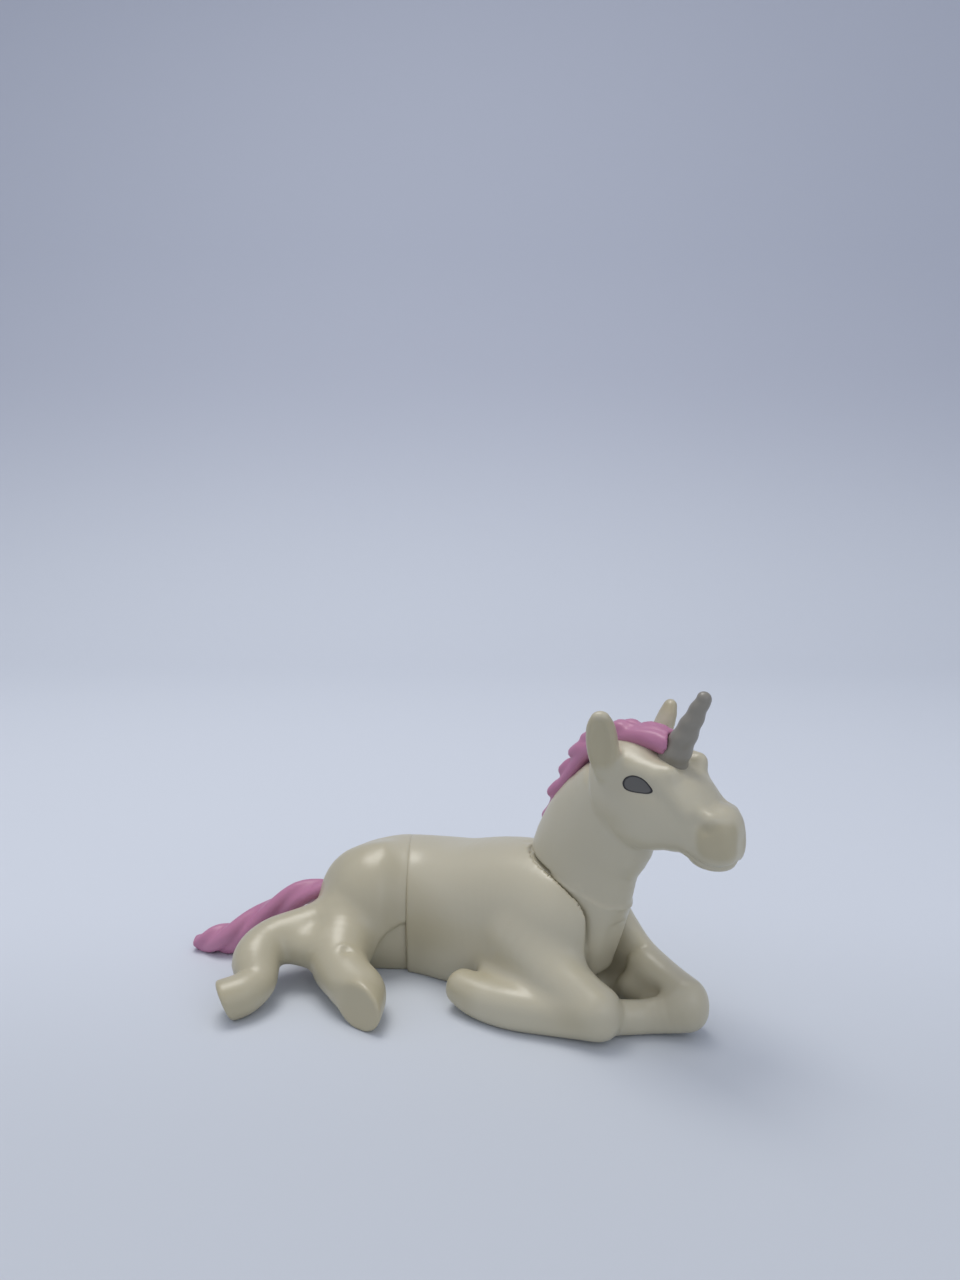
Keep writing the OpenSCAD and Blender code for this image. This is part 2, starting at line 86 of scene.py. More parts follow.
# Filling between the near cannon and the belly
NEAR_WEB = [(2.5, -9.0, 3.4, 1.6), (6.0, -8.5, 3.9, 2.0), (10.5, -7.9, 4.3, 2.1), (14.5, -7.0, 4.2, 2.0)]
NEAR_CANNON = [
    (18.4, -6.0, 3.3, 3.05), (13.4, -8.4, 2.65, 2.8), (8.9, -10.6, 2.55, 2.9), (5.8, -11.6, 2.45, 2.8),
    (3.2, -12.2, 2.6, 2.65), (1.2, -12.6, 2.95, 2.3),
]
FAR_ARM = [
    (9.5, 5.4, 11.6, 3.5, 3.7), (14.6, 5.9, 6.3, 3.0, 3.5), (20.4, 4.7, 4.8, 2.8, 3.1),
    (25.5, 3.0, 4.4, 2.8, 3.1),
]
FAR_CANNON = [
    (25.3, 3.0, 3.5, 2.95, 2.95), (21.9, 0.4, 2.4, 2.4, 2.4), (18.9, -3.2, 2.2, 2.3, 2.15),
    (15.6, -5.6, 1.9, 1.9, 1.8),
]
FAR_WEB = [(9.0, 5.0, 2.2, 2.4), (15.5, 3.8, 3.0, 2.4), (19.0, 3.7, 2.8, 2.1), (23.5, 3.4, 2.4, 1.6)]
# Valley between the far arm and its cannon
FAR_VALLEY = [(15.8, -2.4, 4.1), (18.6, -0.6, 4.1), (21.4, 1.4, 4.2), (23.2, 2.6, 4.5)]
# Notch behind the neck: middle and three radii
WITHERS_NOTCH = ((1.2, 0, 21.2), (1.9, 1.6, 1.3))

# Rump and hind legs in the belly frame, in the same columns
RUMP = [
    (2.3, 6.8, 6.5, 8.74, 10.7), (0.0, 6.8, 6.5, 8.74, 10.7), (-3.6, 6.0, 7.1, 8.2, 9.7),
    (-6.6, 4.6, 7.6, 7.0, 8.0), (-9.2, 3.6, 8.0, 5.2, 5.6),
]
REAR_LEG = [
    (-6.0, 2.4, 8.2, 4.6), (-13.0, -0.6, 6.7, 3.45), (-18.5, -3.5, 6.1, 3.05), (-20.2, -6.8, 4.8, 3.3),
    (-19.4, -10.1, 3.4, 2.55), (-20.9, -12.4, 2.75, 2.75), (-23.0, -13.6, 2.5, 2.75),
]
# A sole is a place on its plane and the way that the plane looks
REAR_SOLE = ((-23.6, -12.4, 2.5), (-0.88, -0.30, -0.36))
SIDE_LEG = [
    (-8.6, -0.6, 6.3, 4.8), (-9.0, -6.0, 4.35, 3.95), (-7.2, -10.0, 3.7, 3.45), (-5.2, -13.0, 3.1, 3.35),
    (-4.9, -17.0, 2.8, 2.9),
]
SIDE_SOLE = ((-4.0, -17.0, 2.8), (-0.57, -0.82, 0.09))
HIND_WEB = [(-18.0, -3.4, 5.4, 2.4), (-15.0, -3.8, 5.4, 2.6), (-11.5, -4.4, 5.2, 3.0)]
# Shallow mark of the moulding gate, and its raised rim
GATE_MARK = (-7.5, -9.3, 6.9)
GATE_RIM = [(-8.7, -9.2, 6.5), (-8.5, -8.6, 7.5), (-7.4, -8.3, 7.7), (-6.4, -8.8, 7.2)]
# Round arch between belly and haunch: x and z of its middle, and its radius
FLANK_ARCH = (1.5, 0.5, 7.4)
# How far the haunch stands out round the arch, and how far the belly is drawn in under it
HAUNCH_OUT, BELLY_IN = 0.9, 0.5
# The rear moulding passes the waist by this much, drawn in so that it stays under the front one
WAIST_LAP, WAIST_IN = 0.3, 0.06
# Tail: x, y, z and radius, the turns of its locks, and a lock's radius as a share of the tail's
TAIL = [
    (-11.2, 5.0, 10.2, 1.3), (-16.8, 5.9, 8.6, 1.75), (-22.2, 5.9, 5.2, 1.85), (-26.6, 5.4, 2.5, 2.0),
    (-29.8, 5.9, 1.7, 1.6), (-32.3, 6.3, 1.1, 0.9),
]
TAIL_TURNS = 1.15
LOCK_SHARE = 0.62

# Neck in the front frame: s, l, z, half width, half depth
NECK = [
    (9.9, 0, 11.9, 3.75, 7.2), (10.5, 0, 17.8, 4.05, 8.2), (12.25, 0, 22.8, 4.15, 7.8),
    (14.85, 0, 26.4, 4.3, 7.45), (16.9, 0, 30.2, 4.5, 6.1),
]
# Tongue between the shoulders: its flat rear part, and its round nose
TONGUE = np.array([(1.3, 13.0), (7.0, 16.4), (10.6, 17.4), (13.6, 18.0), (14.3, 9.4), (7.3, 2.4), (0.3, 9.4)])
TONGUE_NOSE = [
    (7.4, 0, 6.6, 3.64, 6.88), (7.9, 0, 9.4, 3.64, 7.49), (9.2, 0, 13.0, 3.64, 7.5),
    (10.4, 0, 17.5, 3.64, 7.64),
]
# Room for the tongue above its foot
SLOT = np.array([
    (0.0, 9.42), (0.6, 14.0), (7.5, 16.6), (10.9, 17.0), (10.9, 30.0), (18.4, 30.0), (18.4, 11.8),
    (17.0, 9.2), (15.6, 7.2), (15.2, 5.0), (14.6, 3.5), (10.8, 3.5), PIVOT,
])
SKULL = [
    (16.2, 0, 31.3, 4.8, 5.7), (18.4, 0, 31.8, 5.1, 6.6), (22.0, 0, 31.5, 5.0, 6.6),
    (25.4, 0, 30.7, 4.4, 5.5), (27.8, 0, 29.3, 3.6, 4.1), (29.9, 0, 28.5, 3.3, 3.9),
    (31.7, 0, 28.4, 3.1, 3.75), (32.8, 0, 28.5, 2.7, 3.2),
]
# Ridges over the far and the near eye
BROWS = [
    [(19.6, 3.3, 35.6, 1.5), (22.8, 3.6, 35.4, 1.45), (26.1, 3.05, 35.75, 1.3)],
    [(19.6, -3.3, 35.5, 1.45), (22.8, -3.45, 35.0, 1.4), (26.0, -2.9, 35.3, 1.2)],
]
# The rest of the face, given for its far half: balls have a middle and three radii, lines have places
CHEEK = ((21.4, 1.7, 31.0), (6.1, 3.6, 6.2))
NOSE_EDGE = [
    (25.8, 2.75, 34.6, 1.2), (28.2, 2.2, 32.4, 1.05), (29.8, 2.1, 31.3, 1.0), (31.4, 2.1, 30.7, 1.05),
]
CHEEK_RIDGE = [(24.8, 3.7, 34.7, 1.0), (26.8, 3.45, 33.1, 0.8), (28.6, 3.15, 31.3, 0.7)]
NOSE_BRIDGE = [(25.6, 0, 33.2, 2.4), (28.6, 0, 30.6, 2.0), (31.8, 0, 29.7, 1.9)]
FOREHEAD = [(24.2, 0, 37.3), (26.4, 0, 36.3)]
MUZZLE = ((31.2, 0.8, 28.2), (2.5, 2.55, 3.3))
LIP = ((30.3, 0, 25.4), (3.0, 2.1, 1.35))
MOUTH = [
    (28.4, 2.5, 26.3), (29.4, 2.5, 25.75), (30.3, 2.3, 25.4), (31.4, 1.9, 25.2), (32.7, 1.2, 25.3),
    (34.0, 0.3, 25.9),
]
MUZZLE_DENT = (32.3, 3.0, 28.4)
NOSTRIL = (31.3, 3.1, 29.7)
EYE_SOCKET = (23.0, 5.4, 34.0)


def to_front(points):
    """Front-frame coordinates of belly-frame points: a turn about the withers."""
    q = points - WITHERS.astype(points.dtype)
    basis = np.stack([AHEAD, ASIDE, UP], 1).astype(points.dtype)
    return q @ basis


def from_front(rows):
    """Rows of the front frame turned back into the belly frame; further columns stay as they are."""
    rows = np.asarray(rows, float)
    xyz = WITHERS + rows[:, :1] * AHEAD + rows[:, 1:2] * ASIDE + rows[:, 2:3] * UP
    return np.hstack([xyz, rows[:, 3:]])


def blend_min(a, b, k):
    """The lower of two distances, with a fillet of about k where they are near each other."""
    if k <= 0:
        return np.minimum(a, b)
    h = np.clip(0.5 + 0.5 * (b - a) / k, 0, 1)
    return b * (1 - h) + a * h - k * h * (1 - h)


def blend_max(a, b, k):
    """The higher of two distances, with a rounded edge of about k."""
    return -blend_min(-a, -b, k)


def smooth_rows(rows, steps):
    """Catmull-Rom curve through rows of numbers: a cubic between each two rows, steps points each."""
    p = np.asarray(rows, float)
    n = len(p) - 1
    t = np.linspace(0, n, n * steps + 1)
    i = np.minimum(t.astype(int), n - 1)
    u = (t - i)[:, None]
    a, b, c, d = (p[np.clip(i + k, 0, n)] for k in (-1, 0, 1, 2))
    return b + u * (c - a) / 2 + u**2 * (2 * a - 5 * b + 4 * c - d) / 2 + u**3 * (3 * b - a - 3 * c + d) / 2


def ramp(value, start, end):
    """Share of the way from start to end, kept between 0 and 1 and eased at both."""
    t = np.clip((value - start) / (end - start), 0, 1)
    return t * t * (3 - 2 * t)


def unit(v):
    """Vectors divided by their lengths."""
    v = np.asarray(v, float)
    return v / np.linalg.norm(v, axis=-1, keepdims=True)


def tube(points, rows, caps=None, square=2.0, up=(0, 0, 1), steps=4):
    """Distance to a form carried along a curve.

    Between two stations the middle, the half width and the half height run evenly. A point's offset from
    the middle is divided by those halves, and the distance is near (r - 1) times the section's size, where r
    is the p-th root of the sum of the p-th powers. p of 2 is an ellipse, and more squares it up. The ends are
    rounded over the two cap lengths, and no inner station's rounding passes them.
    """
    rows = np.asarray(rows, float)
    if rows.shape[1] == 4:
        rows = np.hstack([rows, rows[:, 3:4]])
    rows = smooth_rows(rows, steps)
    mid, wide, high = rows[:, :3], rows[:, 3], rows[:, 4]
    last = len(rows) - 1
    if caps is None:
        caps = (min(wide[0], high[0]), min(wide[-1], high[-1]))
    index = np.arange(last + 1)
    way = np.concatenate([[0], np.cumsum(np.linalg.norm(np.diff(mid, axis=0), axis=1))])
    ways = unit(mid[np.minimum(index + 1, last)] - mid[np.maximum(index - 1, 0)])
    sides = unit(np.cross(ways, np.asarray(up, float)))
    ups = np.cross(sides, ways)
    out = np.full(len(points), FAR, np.float32)
    for i in range(last):
        a, b = mid[i], mid[i + 1]
        size = max(wide[i], wide[i + 1], high[i], high[i + 1], *caps) + REACH
        low, top = np.minimum(a, b) - size, np.maximum(a, b) + size
        near = np.flatnonzero(((points > low) & (points < top)).all(1))
        if not len(near):
            continue
        step = b - a
        span = float(np.linalg.norm(step))
        q = points[near] - a.astype(np.float32)
        share = q @ (step / span**2).astype(np.float32)
        t = np.clip(share, 0, 1)
        q = q - t[:, None] * step.astype(np.float32)
        t1 = t[:, None]
        side = (sides[i] * (1 - t1) + sides[i + 1] * t1).astype(np.float32)
        rise = (ups[i] * (1 - t1) + ups[i + 1] * t1).astype(np.float32)
        half_w = wide[i] * (1 - t) + wide[i + 1] * t
        half_h = high[i] * (1 - t) + high[i + 1] * t
        half_e = np.minimum(half_w, half_h)
        before = caps[0] if i == 0 else np.minimum(half_e, way[i] + caps[0])
        after = caps[1] if i == last - 1 else np.minimum(half_e, way[last] - way[i + 1] + caps[1])
        half_e = np.where(share < 0, before, np.where(share > 1, after, half_e))
        u = np.abs((q * side).sum(1)) / half_w
        v = np.abs((q * rise).sum(1)) / half_h
        w = np.abs(q @ (step / span).astype(np.float32)) / half_e
        r = (u**square + v**square + w**square) ** (1 / square)
        slope = np.sqrt((u / half_w) ** 2 + (v / half_h) ** 2 + (w / half_e) ** 2)
        d = (r - 1) * np.where(slope > 1e-5, np.sqrt(u * u + v * v + w * w) / np.maximum(slope, 1e-5), half_e)
        out[near] = np.minimum(out[near], d)
    return out


def ball(points, middle, radii, axes=None):
    """Distance to an ellipsoid: (r - 1) times the size of the section that the point looks at."""
    q = points - np.asarray(middle, np.float32)
    if axes is not None:
        q = q @ np.asarray(axes, np.float32).T
    radii = np.asarray(radii, np.float32)
    r = np.linalg.norm(q / radii, axis=1)
    slope = np.linalg.norm(q / radii**2, axis=1)
    return (r - 1) * np.where(slope > 1e-5, r / np.maximum(slope, 1e-5), radii.min())


def half_space(points, at, normal):
    """Signed distance to a plane, above zero on the side of its normal."""
    normal = unit(normal)
    return (points - np.asarray(at, np.float32)) @ normal.astype(np.float32)


def outline(s, z, corners):
    """Signed distance to a closed outline.

    It is the distance to the nearest side, negative where an odd number of sides is crossed on the way out.
    """
    d = np.full(s.shape, np.inf, np.float32)
    inside = np.zeros(s.shape, bool)
    for (ax, az), (bx, bz) in zip(corners, np.roll(corners, -1, axis=0)):
        ex, ez = bx - ax, bz - az
        wx, wz = s - ax, z - az
        t = np.clip((wx * ex + wz * ez) / (ex * ex + ez * ez), 0, 1)
        d = np.minimum(d, (wx - t * ex) ** 2 + (wz - t * ez) ** 2)
        crosses = (az > z) != (bz > z)
        if ez:
            inside ^= crosses & (s < ax + (z - az) * ex / ez)
    return np.where(inside, -1, 1) * np.sqrt(d)


def groove(d, near_line, depth, width):
    """A field with a rounded groove pressed in: depth times a bell curve of the distance from a line."""
    return d + depth * np.exp(-((near_line / width) ** 2))


def to_spot(points, spot, stretch=(1, 1, 1)):
    """Distance from points to one place, with each axis multiplied by its stretch."""
    return np.linalg.norm((points - np.array(spot, np.float32)) * stretch, axis=1)


def to_line(points, line):
    """Distance from points to a smooth line through the given places."""
    line = smooth_rows(line, 4)
    best = np.full(len(points), 1e6, np.float32)
    for a, b in zip(line[:-1], line[1:]):
        e = b - a
        q = points - a.astype(np.float32)
        t = np.clip(q @ (e / (e @ e)).astype(np.float32), 0, 1)
        best = np.minimum(best, ((q - t[:, None] * e.astype(np.float32)) ** 2).sum(1))
    return np.sqrt(best)


def neck_seat(q, gap):
    """Distance to the room above the line between shoulders and neck, moved towards the neck by a gap."""
    rear, middle, ledge = GAP_LINE + gap
    high = 60.0
    corners = np.array([
        (rear[0], high), rear, middle, ledge, (ledge[0], THROAT_FLOOR + gap),
        (high, THROAT_FLOOR + gap), (high, high),
    ])
    return outline(q[:, 0], q[:, 2], corners)


def neck_form(q):
    """The neck by itself, an elliptical tube that leans ahead from the shoulders to the skull."""
    return tube(q, NECK, (2.0, 3.0), up=(-1, 0, 0))


def front_form(points):
    """Front moulding: torso and folded forelegs, less the slot for the neck, the waist face and the ground.

    What is joined is the blended lower of the distances. What is cut away is the blended higher of the form's
    distance and the cutter's distance with its sign turned.
    """
    q = to_front(points)
    d = tube(points, list(RIBS) + [tuple(r) for r in from_front(CHEST)], (2.0, 2.55), 2.4)
    d = blend_min(d, tube(q, NEAR_ARM), 2.2)
    d = blend_min(d, tube(q, FAR_ARM), 1.6)
    d = blend_min(d, tube(q, FAR_WEB), 1.2)
    d = blend_min(d, tube(q, FAR_CANNON, square=2.3), 0.8)
    d = groove(d, to_line(q, FAR_VALLEY), 0.9, 1.3)
    d = blend_min(d, tube(q, NEAR_WEB), 1.8)
    d = blend_min(d, tube(q, NEAR_CANNON, square=2.3), 1.1)
    d = blend_max(d, -points[:, 2], 0.2)
    d = blend_max(d, -points[:, 0], 0.05)
    s, l, z = q.T
    d = blend_max(d, -ball(q, *WITHERS_NOTCH), 0.2)
    room = np.hypot(s - PIVOT[0], z - PIVOT[1]) - FOOT_R - PLAY
    room = np.minimum(room, outline(s, z, SLOT))
    slot = np.maximum(np.abs(l) - SLOT_HALF, room)
    d = np.where(l > 0, blend_max(d, -slot, 2.6), blend_max(d, -slot, 0.3))
    seat = np.maximum(neck_form(q) - PLAY, neck_seat(q, -PLAY))
    return blend_max(d, -seat, 0.35)


def hind_form(points):
    """Rear moulding: rump, haunch and both hind legs with flat soles, less the waist face and the ground.

    The haunch is the rump moved out on the near side and kept outside the arch, and inside the arch the rump
    is moved in. The legs are blended on, and a plane cuts each sole.
    """
    x, y, z = points.T
    base = tube(points, RUMP, (2.0, 3.0), 2.4)
    arch = np.hypot(x - FLANK_ARCH[0], z - FLANK_ARCH[1]) - FLANK_ARCH[2]
    proud = HAUNCH_OUT * ramp(-x, 0, 4.0) * ramp(-y, -8.0, -3.0)
    haunch = blend_max(base - proud, -arch, 0.7)
    d = np.minimum(base + BELLY_IN * ramp(-y, -9.0, -4.0), haunch)
    d = blend_min(d, tube(points, REAR_LEG, steps=6), 1.8)
    side_leg = blend_max(tube(points, SIDE_LEG, steps=6), half_space(points, *SIDE_SOLE), 0.5)
    d = blend_min(d, side_leg, 1.4)
    d = blend_min(d, tube(points, HIND_WEB), 1.2)
    d = blend_max(d, half_space(points, *REAR_SOLE), 0.5)
    d = groove(d, to_spot(points, GATE_MARK, (1, 1, 0.6)), 0.35, 0.8)
    d = groove(d, to_line(points, GATE_RIM), -0.16, 0.3)
    d = blend_max(d, -z, 0.2)
    return np.maximum(d + WAIST_IN * ramp(x, -0.15, 0.05), x - WAIST_LAP)


def ear_form(q, far):
    """An ear: a leaf that leans out and thins upwards, hollowed on its outer face. far is 1 or -1."""
    across = (-1, 0.8 * far, 0)
    drop, lean = 0.3 + 0.3 * far, 0.1 + 0.1 * far
    rows = [
        (18.3, far * 4.6, 34.4, 1.0, 1.7), (18.65, far * 6.0, 37.4, 1.3, 1.95),
        (18.85 + lean, far * 6.8, 40.2 - drop, 1.2, 1.8), (19.05 + lean, far * 7.2, 41.6 - drop, 0.9, 1.2),
    ]
    d = tube(q, rows, (1.0, 0.95), up=across)
    scoop = [
        (19.1, far * 6.6, 35.9, 0.4, 0.7), (19.35, far * 7.15, 37.4, 0.7, 1.3),
        (19.6, far * 7.7, 39.7, 0.7, 1.15), (19.65, far * 7.95, 41.1, 0.5, 0.6),
    ]
    return blend_max(d, -tube(q, scoop, (0.5, 0.5), up=across), 0.35)


def head_form(points):
    """Neck and head moulding: tongue and foot, neck, cheek, brow, nose, lips and ears, blended together.

    Most of the face is worked out with l's sign dropped, so one half serves both sides. Grooves press in the
    forehead before the horn, the mouth, the muzzle, the nostrils and the eye sockets.
    """
    q = to_front(points)
    s, l, z = q.T
    side = np.stack([s, np.abs(l), z], 1)
    neck = blend_max(neck_form(q), neck_seat(q, PLAY), 0.5)
    foot = np.hypot(s - PIVOT[0], z - PIVOT[1]) - FOOT_R
    plate = np.minimum(foot, outline(s, z, TONGUE))
    tongue = blend_max(np.abs(l) - (SLOT_HALF - PLAY), plate, 0.3)
    tongue = blend_min(tongue, tube(q, TONGUE_NOSE, (0.3, 0.3), 4, up=(-1, 0, 0)), 0.1)
    d = blend_min(neck, tongue, 0.6)
    head = tube(q, SKULL, (1.3, 1.1), 2.2)
    head = blend_min(head, ball(side, *CHEEK), 0.7)
    for brow in BROWS:
        head = blend_min(head, tube(q, brow), 1.7)
    head = blend_min(head, tube(side, NOSE_EDGE), 0.6)
    head = blend_min(head, tube(side, CHEEK_RIDGE), 0.9)
    head = blend_min(head, tube(q, NOSE_BRIDGE), 0.9)
    head = groove(head, to_line(q, FOREHEAD), 1.2, 2.4)
    head = blend_min(head, ball(side, *MUZZLE), 0.7)
    head = blend_min(head, ball(q, *LIP), 0.25)
    head = groove(head, to_line(side, MOUTH), 0.3, 0.3)
    head = groove(head, to_spot(side, MUZZLE_DENT, (1, 1, 0.85)), 0.3, 1.7)
    head = groove(head, to_spot(side, NOSTRIL), 0.2, 0.45)
    head = groove(head, to_spot(side, EYE_SOCKET, (1, 1, 1.5)), 0.25, 2.2)
    d = blend_min(d, head, 0.5)
    for far in (-1, 1):
        d = blend_min(d, ear_form(q, far), 0.8)
    return d


def tail_form(points):
    """Tail: three round locks that wind round a sagging line and taper to a common tip.

    Each lock's middle stands off the line by a share of its radius, along the cosine and the sine of an angle
    that turns evenly from root to tip. The three start a third of a turn apart.
    """
    line = smooth_rows(TAIL, 6)
    turn = np.linspace(0, TAIL_TURNS * 2 * math.pi, len(line))
    core = line * np.array([1, 1, 1, 0.9])
    d = tube(points, core, (1.0, 0.6), steps=1)
    for start in (0, 2.1, 4.2):
        lock = line.copy()
        lock[:, 1] += LOCK_SHARE * line[:, 3] * np.cos(turn + start)
        lock[:, 2] += LOCK_SHARE * line[:, 3] * np.sin(turn + start)
        lock[:, 3] *= LOCK_SHARE
        d = blend_min(d, tube(points, lock, (0.8, 0.5), steps=1), 0.15)
    return blend_max(d, -points[:, 2], 0.1)


def skin(form, low, high, pitch):
    """Mesh of the surface where a form's distance is zero.

    The distance is worked out on a cubic grid. Each cell that the surface crosses gets one vertex, at the
    middle of the crossings of its edges, and each grid edge that crosses the surface gets one face of four
    corners.
    """
    low, high = np.asarray(low, float), np.asarray(high, float)
    count = np.ceil((high - low) / pitch).astype(int) + 1
    axes = [low[i] + pitch * np.arange(count[i]) for i in range(3)]
    points = np.stack(np.meshgrid(*axes, indexing="ij"), -1).reshape(-1, 3).astype(np.float32)
    field = form(points).reshape(count).astype(np.float32)
    inside = field < 0
    corners = [(i, j, k) for i in (0, 1) for j in (0, 1) for k in (0, 1)]
    nx, ny, nz = count
    held = sum(inside[i:nx - 1 + i, j:ny - 1 + j, k:nz - 1 + k].astype(np.int8) for i, j, k in corners)
    active = (held > 0) & (held < 8)
    cells = np.argwhere(active)
    vertex = np.full(active.shape, -1, np.int64)
    vertex[active] = np.arange(len(cells))
    total, crossings = np.zeros((len(cells), 3)), np.zeros(len(cells))
    for a in corners:
        for axis in range(3):
            if a[axis]:
                continue
            b = tuple(v + (k == axis) for k, v in enumerate(a))
            fa = field[tuple((cells + a).T)]
            fb = field[tuple((cells + b).T)]
            cut = (fa < 0) != (fb < 0)
            t = np.where(cut, fa / np.where(cut, fa - fb, 1), 0)
            place = np.array(a) + t[:, None] * (np.array(b) - np.array(a))
            total += place * cut[:, None]
            crossings += cut
    verts = (cells + total / crossings[:, None]) * pitch + low
    faces = []
    for axis in range(3):
        u, v = (axis + 1) % 3, (axis + 2) % 3
        first = [slice(1, n - 1) for n in field.shape]
        second = list(first)
        first[axis] = slice(0, field.shape[axis] - 1)
        second[axis] = slice(1, field.shape[axis])
        a, b = inside[tuple(first)], inside[tuple(second)]
        edges = np.argwhere(a != b)
        outward = a[tuple(edges.T)]
        base = edges.copy()
        for k in range(3):
            if k != axis:
                base[:, k] += 1
        quad = []
        for du, dv in ((0, 0), (1, 0), (1, 1), (0, 1)):
            cell = base.copy()
            cell[:, u] -= du
            cell[:, v] -= dv
            quad.append(vertex[tuple(cell.T)])
        quad = np.stack(quad, 1)
        faces.append(np.where(outward[:, None], quad, quad[:, ::-1]))
    return verts, np.concatenate(faces)


def add_piece(name, verts, faces, material, marks=None):
    """A smooth mesh object from vertices in belly-frame millimetres and faces of three or four corners.

    marks is a value for each vertex, kept as the attribute "mark" for the material.
    """
    faces = faces if isinstance(faces, list) else [faces]
    counts = np.concatenate([np.full(len(f), f.shape[1]) for f in faces])
    corners = np.concatenate([f.ravel() for f in faces]).astype(np.int32)
    mesh = bpy.data.meshes.new(name)
    mesh.vertices.add(len(verts))
    mesh.vertices.foreach_set("co", ((verts - MIDDLE) * MM).astype(np.float32).ravel())
    mesh.loops.add(len(corners))
    mesh.loops.foreach_set("vertex_index", corners)
    mesh.polygons.add(len(counts))
    mesh.polygons.foreach_set("loop_start", np.concatenate([[0], np.cumsum(counts)[:-1]]).astype(np.int32))
    mesh.polygons.foreach_set("use_smooth", np.ones(len(counts), bool))
    if marks is not None:
        mesh.attributes.new("mark", "FLOAT", "POINT").data.foreach_set("value", np.asarray(marks, np.float32))
    mesh.update(calc_edges=True)
    mesh.validate()
    mesh.materials.append(material)
    piece = bpy.data.objects.new(name, mesh)
    bpy.context.scene.collection.objects.link(piece)
    return piece


def grid_faces(rows, columns, closed=True):
    """Four-sided faces of a grid of rows by columns, joined round its columns when closed."""
    i, j = np.meshgrid(np.arange(rows - 1), np.arange(columns if closed else columns - 1), indexing="ij")
    k = (j + 1) % columns
    corners = [i * columns + j, i * columns + k, (i + 1) * columns + k, (i + 1) * columns + j]
    return np.stack(corners, -1).reshape(-1, 4)


def settle(piece, node, body):
    """Put a piece on its body, in place of its CAD node, which is hidden."""
    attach(piece, body)
    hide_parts(node)


# Crest that carries the mane, in the front frame: s, l, z, half width, half height
CREST = [
    (4.8, 0, 24.2, 0.8, 0.6), (6.3, 0, 26.8, 1.2, 0.85), (7.6, 0, 29.3, 1.3, 0.9),
    (9.7, 0, 32.3, 1.4, 1.0), (11.4, 0, 34.7, 1.5, 1.1), (14.8, 0, 37.1, 1.9, 1.2),
    (18.6, 0, 38.3, 2.3, 1.3), (22.0, 0, 38.6, 2.4, 1.4), (24.2, 0, 38.2, 2.3, 1.5),
]
# Locks of the mane, each from its root to its hanging tip: s, l, z, radius
LOCKS = [
    [(6.4, 0.2, 26.4, 1.0), (5.5, 0.1, 25.5, 0.95), (4.6, 0.0, 24.8, 0.7)],
    [(8.0, -0.2, 29.8, 1.1), (7.0, -0.3, 29.2, 1.05), (5.95, -0.3, 28.4, 0.85)],
    [(9.8, 0.2, 32.8, 1.15), (8.7, 0.1, 32.3, 1.1), (7.6, 0.1, 31.5, 0.9)],
    [(11.6, -0.2, 35.3, 1.15), (10.7, -0.3, 35.1, 1.1), (9.55, -0.3, 34.5, 0.85)],
    [(13.6, 0.2, 37.1, 1.2), (12.4, 0.1, 37.0, 1.1), (11.1, 0.1, 36.5, 0.85)],
    [(18.4, -0.6, 38.8, 1.1), (17.4, -0.8, 39.0, 1.2), (16.4, -0.8, 38.7, 1.0)],
    [(18.4, 0.9, 38.8, 1.1), (17.4, 1.1, 38.9, 1.15), (16.4, 1.0, 38.6, 0.95)],
    [(22.4, 0.4, 38.9, 1.3), (20.9, 0.5, 39.1, 1.2), (20.0, 0.5, 39.0, 0.95)],
]
HORN_AT = (24.2, 0.0, 35.7)
HORN_LEAN = math.radians(27)
# Horn outline: way along it and radius
HORN_RADII = [
    (-2.4, 1.9), (-1.2, 2.2), (0.0, 2.16), (2.2, 1.82), (4.4, 1.54), (6.6, 1.28), (8.4, 1.08), (9.6, 0.95),
]
HORN_TIP = 0.95
HORN_TOP = 10.55
# Radius of the room for the horn in the forelock, and how far it reaches below the horn's foot
HORN_ROOM = (1.75, 1.0)
# Outline of the near eye in the front frame: s and z, from its rear over the top to its point and back
EYE_LINE = [
    (20.97, 33.71), (21.34, 34.4), (22.21, 34.86), (23.23, 34.86), (24.2, 34.42), (24.84, 33.75),
    (24.93, 33.32), (24.4, 33.0), (23.13, 32.89), (22.03, 32.89), (21.25, 33.12),
]


def mane_form(points):
    """Mane and forelock: a strip along the crest with hanging locks, less the room for the horn.

    Its furrows are a small cosine of l on the forelock and of s less z on the neck, each faded by a ramp.
    """
    q = to_front(points)
    s, l, z = q.T
    d = tube(q, CREST, (0.9, 0.9), 2.2, up=(-1, 0, 1))
    for lock in LOCKS:
        d = blend_min(d, tube(q, lock, up=(0, 1, 0)), 0.35)
    furrow = 0.07 * np.cos(l * 5.4 + 0.5 * np.sin(s * 1.3)) * np.clip((s - 13.0) / 3, 0, 1)
    furrow += 0.05 * np.cos((s - z) * 2.6 + l) * np.clip((15.0 - s) / 3, 0, 1)
    return blend_max(d + furrow, -horn_room(q), 0.1)


def horn_room(q):
    """Distance to the round room that the horn stands in: a cylinder about its axis, closed below."""
    axis = np.array([math.sin(HORN_LEAN), 0, math.cos(HORN_LEAN)], np.float32)
    p = q - np.array(HORN_AT, np.float32)
    along = p @ axis
    away = np.linalg.norm(p - along[:, None] * axis, axis=1)
    return np.maximum(away - HORN_ROOM[0], -along - HORN_ROOM[1])


